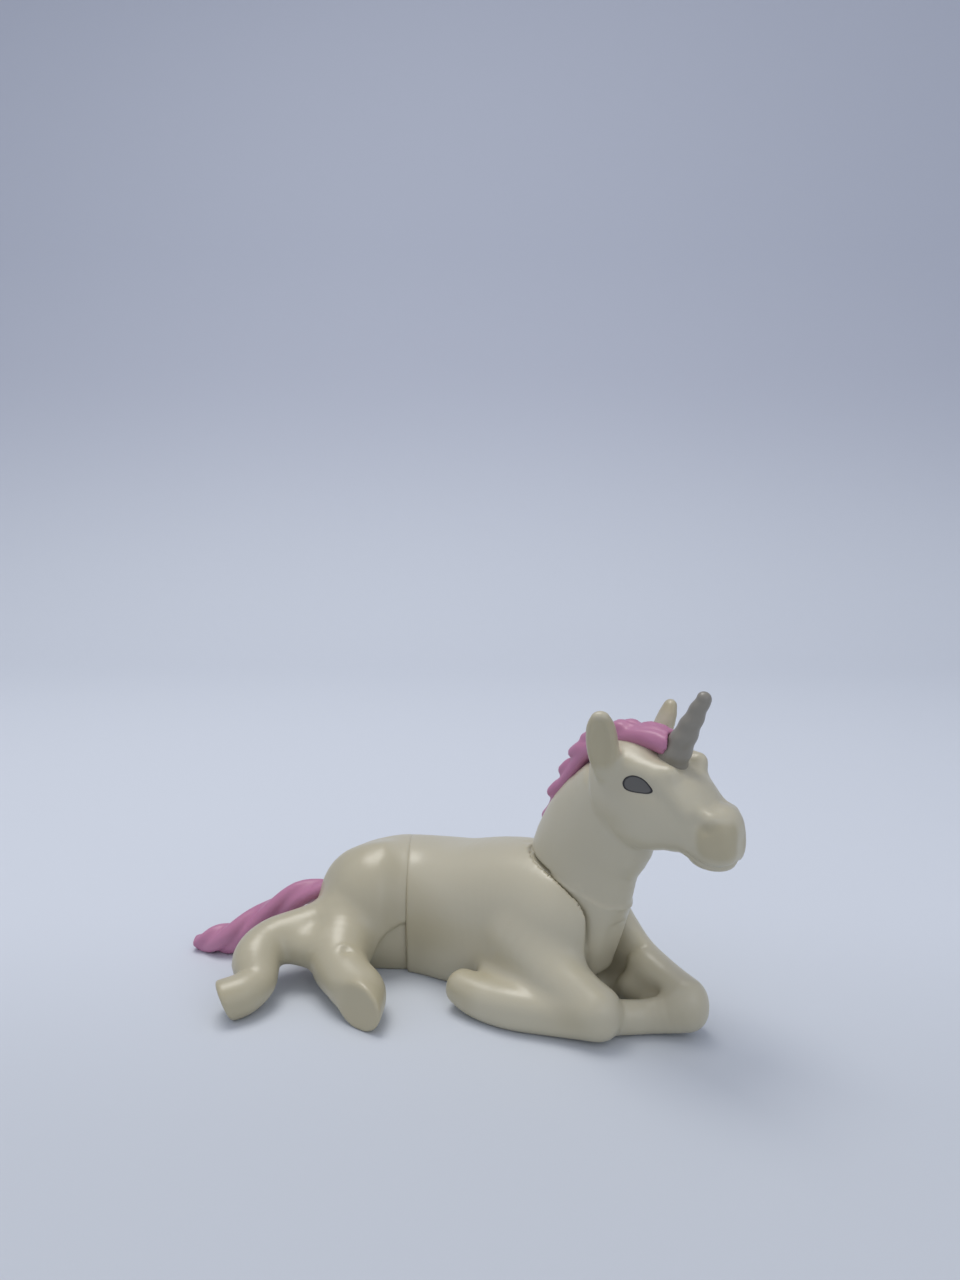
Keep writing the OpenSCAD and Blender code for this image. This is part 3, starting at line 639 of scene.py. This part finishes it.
def horn_mesh(turns, ridge):
    """Horn: a round outline carried along its axis, with one ridge winding up it.

    The radius is the outline's radius less the ridge depth times half of one less the cosine of the angle
    from the winding ridge, and the tip closes as a half ball.
    """
    rows, columns = 120, 72
    way, radius = np.array(HORN_RADII).T
    body = np.linspace(way[0], way[-1], rows)
    r = smooth_rows(np.array(HORN_RADII), 12)
    r = np.interp(body, r[:, 0], r[:, 1])
    cap = np.linspace(0, math.pi / 2, 14)[1:]
    along = np.concatenate([body, way[-1] + HORN_TIP * np.sin(cap)])
    size = np.concatenate([r, radius[-1] * np.cos(cap)])
    angle = np.linspace(0, 2 * math.pi, columns, endpoint=False)
    a, t = np.meshgrid(angle, along)
    fade = np.clip((t - 0.4) / 0.8, 0, 1) * np.clip((HORN_TOP - t) / 1.2, 0, 1)
    wave = np.cos(a - 2 * math.pi * turns * t / HORN_TOP)
    width = size[:, None] - ridge * fade * (0.5 - 0.5 * wave)
    u, v = width * np.cos(a), width * np.sin(a)
    s = HORN_AT[0] + u * math.cos(HORN_LEAN) + t * math.sin(HORN_LEAN)
    z = HORN_AT[2] - u * math.sin(HORN_LEAN) + t * math.cos(HORN_LEAN)
    rows_sz = np.stack([s, v, z], -1).reshape(-1, 3)
    foot = np.array([[
        HORN_AT[0] + way[0] * math.sin(HORN_LEAN), 0, HORN_AT[2] + way[0] * math.cos(HORN_LEAN),
    ]])
    verts = from_front(np.vstack([rows_sz, foot]))
    j = np.arange(columns)
    base = np.stack([(j + 1) % columns, j, np.full(columns, len(verts) - 1)], 1)
    # Marks: painted shade, a dark band round the horn's foot where it goes into the head
    marks = np.append(np.clip(1 - np.abs(t.ravel() - 0.1) / 0.5, 0, 1), 0)
    return verts, [grid_faces(len(along), columns), base], marks


def eye_mesh(far, proud, depth):
    """Printed eye: rings from the middle to the outline, laid on the cheek and sunk at the rim.

    Each ring is the outline drawn in towards its middle, and each point slides sideways until the head's
    distance is zero. Halving steps find that place between 2 and 8 mm from the middle plane. The marks are
    each vertex's share of the way to the rim.
    """
    line = np.array(EYE_LINE)
    steps = 8
    closed = smooth_rows(np.vstack([line[-2:], line, line[:2]]), steps)[2 * steps:-steps - 1]
    count = len(closed)
    middle = closed.mean(0)
    shares = np.concatenate([np.linspace(0, 1, 27)[1:], [1.0]])
    ring = middle + shares[:, None, None] * (closed - middle)
    s = np.append(ring[..., 0].ravel(), middle[0])
    z = np.append(ring[..., 1].ravel(), middle[1])
    inner, outer = np.full(len(s), 2.0), np.full(len(s), 8.0)
    for _ in range(20):
        half = (inner + outer) / 2
        d = head_form(from_front(np.stack([s, far * half, z], 1)).astype(np.float32))
        inner = np.where(d < 0, half, inner)
        outer = np.where(d < 0, outer, half)
    lift = np.full(len(s), proud)
    lift[-count - 1:-1] = -depth
    verts = from_front(np.stack([s, far * (inner + lift), z], 1))
    j = np.arange(count)
    fan = np.stack([np.full(count, len(verts) - 1), j, (j + 1) % count], 1)
    faces = [grid_faces(len(shares), count)[:, ::-1], fan]
    if far < 0:
        faces = [f[:, ::-1] for f in faces]
    return verts, faces, np.append(np.repeat(shares, count), 0)


def wire(tree, kind, inputs=None, **settings):
    """A new node: its settings, then its inputs set to values or joined to other nodes' outputs."""
    made = tree.nodes.new(kind)
    for key, value in settings.items():
        setattr(made, key, value)
    for key, value in (inputs or {}).items():
        if isinstance(value, bpy.types.NodeSocket):
            tree.links.new(value, made.inputs[key])
        else:
            made.inputs[key].default_value = value
    return made


def mix(tree, factor, first, second):
    """Output of a colour mix from the first to the second by the factor."""
    return wire(tree, "ShaderNodeMix", {0: factor, 6: first, 7: second}, data_type="RGBA").outputs[2]


def new_material(name):
    """An empty node material and its tree."""
    material = bpy.data.materials.new(name)
    material.use_nodes = True
    material.node_tree.nodes.clear()
    return material, material.node_tree


def close(tree, shader):
    """Join a shader to the material's surface."""
    wire(tree, "ShaderNodeOutputMaterial", {"Surface": shader.outputs[0]})


def moulded(name, pale, deep, marked, gloss, soft):
    """Moulded plastic: clouds of two close shades, a third where the mark is, a fine grain, a soft gloss."""
    material, tree = new_material(name)
    place = wire(tree, "ShaderNodeTexCoord").outputs["Object"]
    cloud = wire(tree, "ShaderNodeTexNoise", {"Vector": place, "Scale": 85.0, "Detail": 2.0}).outputs[0]
    mark = wire(tree, "ShaderNodeAttribute", attribute_name="mark").outputs["Fac"]
    # The third shade, set by the mark, is the muzzle's tint on the cream and painted shade on its knees,
    # soles and ear hollows, and painted shade at the horn's foot
    colour = mix(tree, mark, mix(tree, cloud, pale, deep), marked)
    fine = wire(tree, "ShaderNodeTexNoise", {"Vector": place, "Scale": 1500.0, "Detail": 3.0}).outputs[0]
    rough = wire(tree, "ShaderNodeMapRange", {0: cloud, 3: gloss - 0.04, 4: gloss + 0.05}).outputs[0]
    bump = wire(tree, "ShaderNodeBump", {"Height": fine, "Strength": 0.10, "Distance": 0.0001}).outputs[0]
    close(tree, wire(tree, "ShaderNodeBsdfPrincipled", {
        "Base Color": colour, "Roughness": rough, "Normal": bump, "IOR": 1.62,
        "Subsurface Weight": soft, "Subsurface Radius": (1.0, 0.8, 0.6), "Subsurface Scale": 0.0012,
    }))
    return material


def printed(name, fill, rim, edge):
    """Print on the cheek: a grey fill, and a dark rim where the mark passes the edge share."""
    material, tree = new_material(name)
    place = wire(tree, "ShaderNodeTexCoord").outputs["Object"]
    mark = wire(tree, "ShaderNodeAttribute", attribute_name="mark").outputs["Fac"]
    speck = wire(tree, "ShaderNodeTexNoise", {"Vector": place, "Scale": 2500.0, "Detail": 2.0}).outputs[0]
    ragged = wire(tree, "ShaderNodeMath", {0: speck, 1: 0.05, 2: mark}, operation="MULTIPLY_ADD").outputs[0]
    dark = wire(tree, "ShaderNodeMapRange", {0: ragged, 1: edge, 2: edge + 0.1}).outputs[0]
    close(tree, wire(tree, "ShaderNodeBsdfPrincipled", {
        "Base Color": mix(tree, dark, fill, rim), "Roughness": 0.55, "IOR": 1.5,
    }))
    return material


def eased(tree, value, span):
    """Output that eases from 0 to 1 while a value goes from the span's start to its end."""
    limits = {0: value, 1: span[0], 2: span[1]}
    return wire(tree, "ShaderNodeMapRange", limits, interpolation_type="SMOOTHSTEP").outputs[0]


def sweep_material(front, near, far, depths, heights):
    """Matt sweep: the front colour, a painted shadow of the figure, passes into the near one along y, and
    that into the far one, painted shade high on the wall, along z.
    """
    material, tree = new_material("sweep")
    place = wire(tree, "ShaderNodeTexCoord").outputs["Object"]
    axes = wire(tree, "ShaderNodeSeparateXYZ", {0: place}).outputs
    ground = mix(tree, eased(tree, axes["Y"], depths), front, near)
    cloud = wire(tree, "ShaderNodeTexNoise", {"Vector": place, "Scale": 9.0, "Detail": 1.0}).outputs[0]
    faint = wire(tree, "ShaderNodeMapRange", {0: cloud, 3: -0.04, 4: 0.04}).outputs[0]
    rise = eased(tree, axes["Z"], heights)
    moved = wire(tree, "ShaderNodeMath", {0: rise, 1: faint}, operation="ADD", use_clamp=True).outputs[0]
    close(tree, wire(tree, "ShaderNodeBsdfPrincipled", {
        "Base Color": mix(tree, moved, ground, far), "Roughness": 0.9, "Specular IOR Level": 0.1,
    }))
    return material


def cream_tint_and_shade_marks(points):
    """How far the plastic goes to its yellower, darker shade: the muzzle's own yellow tint, the near front
    hoof, and painted shade on the knees by the floor, the soles and the ear hollows.

    Each area is a product of ramps along the axes or a bell curve about its middle, times its strength.
    """
    q = to_front(points)
    s, l, z = q.T
    x, y, _ = points.T
    # The muzzle patch is the plastic's own yellow tint
    square = (np.abs((s - 32.4) / 2.2) ** 3 + np.abs((z - 28.5) / 2.3) ** 3) ** (1 / 3)
    patch = ramp(square, 1.2, 0.8) * ramp(np.abs(l), 0.3, 1.0)
    near_hoof = ramp(s, 6.0, 3.4) * ramp(l, -9.5, -11.5)
    # Painted shade: the knees by the floor, both soles and the ear hollows are darkened with the yellower
    # shade
    knee = np.exp(-(((s - 17.5) / 2.6) ** 2 + ((z - 3.4) / 2.2) ** 2)) * ramp(l, -6.0, -8.0)
    far_knee = np.exp(-(((s - 26.0) / 2.5) ** 2 + ((z - 4.0) / 2.0) ** 2)) * ramp(s, 20.0, 22.0)
    sole = ramp(x, -22.5, -24.0) * ramp(y, -9, -11)
    side = ramp(y, -13.5, -15.5) * ramp(x, -1, -2)
    hollow = ramp(np.abs(l), 5.2, 6.2) * ramp(z, 34.5, 36) * ramp(z, 42.3, 41.3) * ramp(s, 16.2, 17.2)
    return np.clip(0.8 * patch + 0.4 * near_hoof + 0.5 * knee + 0.4 * far_knee + 0.3 * sole + 0.3 * side
                   + 0.8 * hollow, 0, 1)


def tint(name, value, text):
    """A colour property."""
    return bpy.props.FloatVectorProperty(
        name=name, description=text, default=value, subtype="COLOR", min=0, max=1, size=3)


def length(name, value, text):
    """A length property, in metres."""
    return bpy.props.FloatProperty(
        name=name, description=text, default=value, unit="LENGTH", min=0, precision=5)


def number(name, value, text):
    """A plain number property."""
    return bpy.props.FloatProperty(name=name, description=text, default=value, min=0)


class FoalSizes(bpy.types.PropertyGroup):
    """Measures of the visible surfaces and of the stage."""

    body_pitch: length("Body pitch", 0.0003, "Grid pitch that the front and rear mouldings are skinned at")
    head_pitch: length("Head pitch", 0.00027, "Grid pitch that the head, mane and tail are skinned at")
    horn_ridge: length("Horn ridge", 0.00012, "Depth of the winding ridge of the horn")
    horn_turns: number("Horn turns", 4.6, "Turns of the ridge round the horn")
    eye_proud: length("Eye proud", 0.00004, "How far the printed eye stands off the cheek")
    camera_y: length("Camera distance", 0.12578, "Distance of the camera in front of the figure's middle")
    camera_z: length("Camera height", 0.0667, "Height of the camera above the floor")
    camera_x: length("Camera side", 0.00591, "How far the camera stands to the right of the middle")


class FoalColours(bpy.types.PropertyGroup):
    """Colours and strengths of the plastics, the sweep and the lamps."""

    cream: tint("Cream", (0.56, 0.52, 0.39), "Paler shade of the body plastic")
    cream_deep: tint("Cream, deep", (0.51, 0.47, 0.345), "Deeper shade of the body plastic")
    # Third shade of the body: the muzzle's tint, the near front hoof, and painted shade on the knees, soles
    # and ear hollows
    cream_tint_and_shade: tint("Cream, yellow", (0.44, 0.39, 0.25), "Yellower shade of the hooves and the muzzle")
    mauve: tint("Mauve", (0.55, 0.24, 0.375), "Paler shade of the mane and tail")
    mauve_deep: tint("Mauve, deep", (0.45, 0.155, 0.285), "Deeper shade of the mane and tail")
    grey: tint("Grey", (0.285, 0.265, 0.22), "Paler shade of the horn")
    grey_deep: tint("Grey, deep", (0.22, 0.205, 0.17), "Deeper shade of the horn")
    grey_foot_shade: tint("Horn foot", (0.03, 0.03, 0.035), "Dark line round the foot of the horn")
    # Painted shade of the gap round the horn's foot
    eye_fill: tint("Eye fill", (0.12, 0.118, 0.11), "Fill of the printed eye")
    eye_rim: tint("Eye rim", (0.02, 0.018, 0.02), "Rim of the printed eye")
    floor: tint("Floor", (0.69, 0.73, 0.79), "Colour of the sweep round the figure")
    # Painted shadow of the figure, cast forward on the floor
    floor_front_shadow: tint("Floor, front", (0.60, 0.635, 0.685), "Colour of the sweep in front of the figure")
    # Painted shade: the wall is darker high up, where less light falls
    backdrop: tint("Backdrop", (0.55, 0.58, 0.66), "Colour of the sweep high behind the figure")
    key: number("Key lamp", 1.03, "Strength of the large lamp above and behind, in watts")
    fill: number("Fill lamp", 0.25, "Strength of the lamp in front on the right, in watts")
    sky: number("Sky", 0.62, "Strength of the even light from all round")


def shade(value):
    """An opaque colour of four numbers."""
    return (*value, 1.0)


class FOAL_OT_forequarters(bpy.types.Operator):
    """Skin the front body moulding"""

    bl_idname = "foal.forequarters"
    bl_label = "Forequarters"

    def execute(self, context):
        pitch = context.scene.foal_sizes.body_pitch / MM
        verts, faces = skin(front_form, (-1, -24, -1), (41.5, 17.5, 22), pitch)
        piece = add_piece("front_moulding", verts, faces, cream(context), cream_tint_and_shade_marks(verts))
        settle(piece, "forequarters", "body")
        return {"FINISHED"}


class FOAL_OT_hindquarters(bpy.types.Operator):
    """Skin the rear body moulding"""

    bl_idname = "foal.hindquarters"
    bl_label = "Hindquarters"

    def execute(self, context):
        pitch = context.scene.foal_sizes.body_pitch / MM
        verts, faces = skin(hind_form, (-26, -19, -1), (1, 18, 19), pitch)
        piece = add_piece("rear_moulding", verts, faces, cream(context), cream_tint_and_shade_marks(verts))
        settle(piece, "hindquarters", "body")
        return {"FINISHED"}


class FOAL_OT_head(bpy.types.Operator):
    """Skin the neck and head moulding"""

    bl_idname = "foal.head"
    bl_label = "Neck and head"

    def execute(self, context):
        pitch = context.scene.foal_sizes.head_pitch / MM
        verts, faces = skin(head_form, (13, -28.5, 1), (44, 3.5, 44), pitch)
        piece = add_piece("head_moulding", verts, faces, cream(context), cream_tint_and_shade_marks(verts))
        settle(piece, "head_neck", "head")
        return {"FINISHED"}


class FOAL_OT_mane(bpy.types.Operator):
    """Skin the mane and forelock"""

    bl_idname = "foal.mane"
    bl_label = "Mane"

    def execute(self, context):
        pitch = context.scene.foal_sizes.head_pitch / MM
        verts, faces = skin(mane_form, (17, -22, 22), (38, -1, 42), pitch)
        piece = add_piece("mane_moulding", verts, faces, mauve(context))
        settle(piece, "mane", "head")
        return {"FINISHED"}


class FOAL_OT_tail(bpy.types.Operator):
    """Skin the tail"""

    bl_idname = "foal.tail"
    bl_label = "Tail"

    def execute(self, context):
        pitch = context.scene.foal_sizes.head_pitch / MM
        verts, faces = skin(tail_form, (-34, 1, -1), (-10, 11, 13.5), pitch)
        piece = add_piece("tail_moulding", verts, faces, mauve(context))
        settle(piece, "tail", "body")
        return {"FINISHED"}


class FOAL_OT_horn(bpy.types.Operator):
    """Turn the horn"""

    bl_idname = "foal.horn"
    bl_label = "Horn"

    def execute(self, context):
        sizes, colours = context.scene.foal_sizes, context.scene.foal_colours
        verts, faces, marks = horn_mesh(sizes.horn_turns, sizes.horn_ridge / MM)
        material = moulded(
            "horn_grey", shade(colours.grey), shade(colours.grey_deep), shade(colours.grey_foot_shade), 0.36, 0)
        piece = add_piece("horn_moulding", verts, faces, material, marks)
        settle(piece, "horn", "head")
        return {"FINISHED"}


class FOAL_OT_eyes(bpy.types.Operator):
    """Lay the two printed eyes on the cheeks"""

    bl_idname = "foal.eyes"
    bl_label = "Eyes"

    def execute(self, context):
        sizes, colours = context.scene.foal_sizes, context.scene.foal_colours
        material = printed("eye_print", shade(colours.eye_fill), shade(colours.eye_rim), 0.84)
        for name, far in (("eye_right", -1), ("eye_left", 1)):
            verts, faces, marks = eye_mesh(far, sizes.eye_proud / MM, 0.1)
            piece = add_piece(name + "_print", verts, faces, material, marks)
            settle(piece, name, "head")
        return {"FINISHED"}


def cream(context):
    """The body plastic, made once."""
    c = context.scene.foal_colours
    return bpy.data.materials.get("cream") or moulded(
        "cream", shade(c.cream), shade(c.cream_deep), shade(c.cream_tint_and_shade), 0.33, 0.10)


def mauve(context):
    """The plastic of the mane and tail, made once."""
    c = context.scene.foal_colours
    return bpy.data.materials.get("mauve") or moulded(
        "mauve", shade(c.mauve), shade(c.mauve_deep), shade(c.mauve_deep), 0.42, 0.08)


def sweep_mesh():
    """Floor that curves up into a wall: flat, then a quarter circle, then straight up, carried along x."""
    bend = np.linspace(0, math.pi / 2, 40)[1:]
    front, start, radius, top, reach = -900.0, 260.0, 220.0, 900.0, 2600.0
    y = np.concatenate([[front, front / 3, 0, start], start + radius * np.sin(bend), [start + radius]])
    z = np.concatenate([[0, 0, 0, 0], radius * (1 - np.cos(bend)), [top]])
    x = np.linspace(-reach, reach, 9)
    verts = np.stack([np.tile(x, len(y)), np.repeat(y, len(x)), np.repeat(z, len(x))], 1)
    return verts + MIDDLE, grid_faces(len(y), len(x), closed=False)


def lamp(name, place, aim, size, power, colour):
    """A square area lamp at a place, turned to face its aim; lengths in metres."""
    data = bpy.data.lights.new(name, "AREA")
    data.size, data.energy, data.color = size, power, colour
    made = bpy.data.objects.new(name, data)
    made.location = place
    made.rotation_euler = (Vector(aim) - Vector(place)).to_track_quat("-Z", "Y").to_euler()
    bpy.context.scene.collection.objects.link(made)
    return made


# Lamps and sky: places in metres, sizes and colours
KEY_AT, KEY_SIZE, KEY_COLOUR = (-0.08, 0.09, 0.50), 0.26, (1.0, 0.98, 0.94)
FILL_AT, FILL_SIZE, FILL_COLOUR = (0.30, -0.40, 0.25), 0.40, (0.86, 0.91, 1.0)
SKY_COLOUR = (0.86, 0.89, 1.0, 1)
# Where the sweep passes into its next colour: along y, out of the painted shadow in front of the figure, and
# up the wall, into its painted shade
FRONT_SHADOW_FADE, WALL_FADE = (-0.04, 0.03), (0.0, 0.16)
# The camera looks 8 degrees below level; 27 mm on 36 mm is 960 pixels on the photograph's 1280
CAMERA_TILT = math.radians(82)
LENS, SENSOR = 27.0, 36.0


class FOAL_OT_stage(bpy.types.Operator):
    """Make the sweep, the lamps, the sky and the camera"""

    bl_idname = "foal.stage"
    bl_label = "Stage"

    def execute(self, context):
        scene, sizes, colours = context.scene, context.scene.foal_sizes, context.scene.foal_colours
        verts, faces = sweep_mesh()
        material = sweep_material(
            shade(colours.floor_front_shadow), shade(colours.floor), shade(colours.backdrop), FRONT_SHADOW_FADE, WALL_FADE)
        floor = add_piece("sweep", verts, faces, material)
        key = lamp("key_lamp", KEY_AT, (0, 0, 0.015), KEY_SIZE, colours.key, KEY_COLOUR)
        fill = lamp("fill_lamp", FILL_AT, (0, 0, 0.02), FILL_SIZE, colours.fill, FILL_COLOUR)
        scene.world = bpy.data.worlds.new("sky")
        scene.world.use_nodes = True
        sky = scene.world.node_tree.nodes["Background"]
        sky.inputs["Color"].default_value = SKY_COLOUR
        sky.inputs["Strength"].default_value = colours.sky
        data = bpy.data.cameras.new("camera")
        data.lens, data.sensor_width = LENS, SENSOR
        data.clip_start = 0.005
        camera = bpy.data.objects.new("camera", data)
        camera.location = (sizes.camera_x, -sizes.camera_y, sizes.camera_z)
        camera.rotation_euler = (CAMERA_TILT, 0, 0)
        scene.collection.objects.link(camera)
        scene.camera = camera
        scene.view_settings.view_transform = "Standard"
        return {"FINISHED"}


STEPS = ("stage", "forequarters", "hindquarters", "head", "mane", "horn", "tail", "eyes")


class FOAL_PT_panel(bpy.types.Panel):
    """Measures, colours and steps of the foal"""

    bl_label = "Toy unicorn foal"
    bl_space_type = "VIEW_3D"
    bl_region_type = "UI"
    bl_category = "Foal"

    def draw(self, context):
        for group in (context.scene.foal_sizes, context.scene.foal_colours):
            for name in group.__annotations__:
                self.layout.prop(group, name)
        for step in STEPS:
            self.layout.operator("foal." + step)


CLASSES = (
    FoalSizes, FoalColours, FOAL_OT_stage, FOAL_OT_forequarters, FOAL_OT_hindquarters, FOAL_OT_head,
    FOAL_OT_mane, FOAL_OT_horn, FOAL_OT_tail, FOAL_OT_eyes, FOAL_PT_panel,
)


def register():
    """Add the classes and the scene's two property groups."""
    for one in CLASSES:
        bpy.utils.register_class(one)
    bpy.types.Scene.foal_sizes = bpy.props.PointerProperty(type=FoalSizes)
    bpy.types.Scene.foal_colours = bpy.props.PointerProperty(type=FoalColours)


def unregister():
    """Take them away again."""
    del bpy.types.Scene.foal_colours
    del bpy.types.Scene.foal_sizes
    for one in reversed(CLASSES):
        bpy.utils.unregister_class(one)


def main():
    register()
    for step in STEPS:
        getattr(bpy.ops.foal, step)()


if __name__ == "__main__":
    main()
